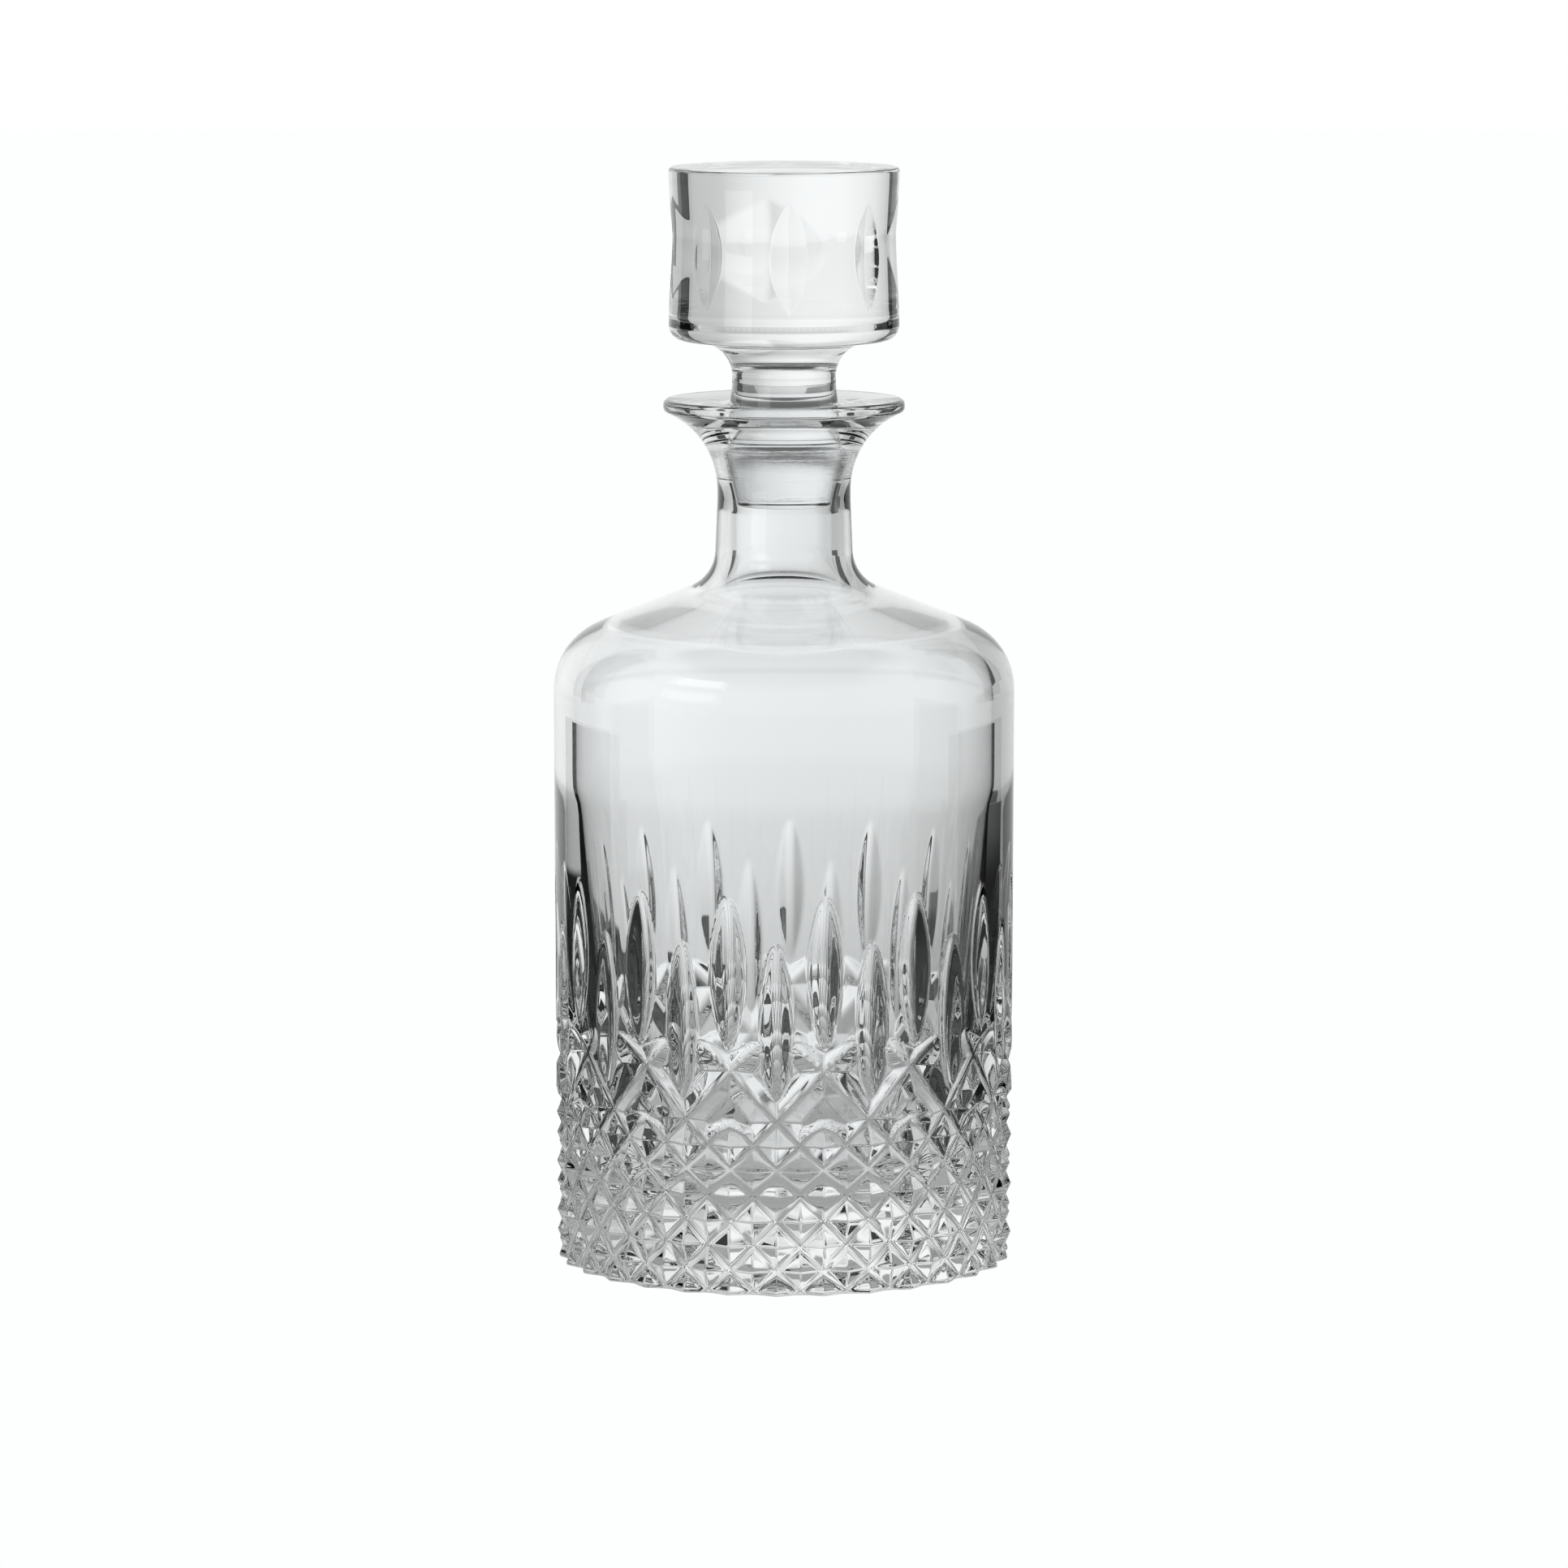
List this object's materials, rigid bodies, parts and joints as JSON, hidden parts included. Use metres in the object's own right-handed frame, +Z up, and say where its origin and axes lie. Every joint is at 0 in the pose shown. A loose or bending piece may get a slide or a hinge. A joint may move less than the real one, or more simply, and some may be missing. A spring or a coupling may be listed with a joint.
{
  "type": "wine decanter",
  "caption": "Cylindrical cut-crystal decanter with a diamond-cut foot, rows of olive cuts, a flared lip and a solid drum-shaped ground stopper that lifts out.",
  "frame": {"origin": "on the table plane, at the centre of the decanter's resting ring, on the decanter's axis", "axes": "+Z up along the axis of the decanter and stopper; the front of the decanter faces -Y; +X to the right seen from the front"},
  "size_m": [0.105, 0.105, 0.25],
  "materials": {
    "crystal_body": "clear polished crystal with sharp polished wheel cuts",
    "crystal_stopper": "clear polished solid crystal, ground satin plug"
  },
  "bodies": {
    "decanter": {"decanter_body": "crystal_body"},
    "stopper": {"stopper": "crystal_stopper"}
  },
  "joints": [
    {"name": "stopper_lift", "type": "slide", "parent": "decanter", "child": "stopper", "axis": [0, 0, 1], "range_m": [0, 0.0315]}
  ]
}
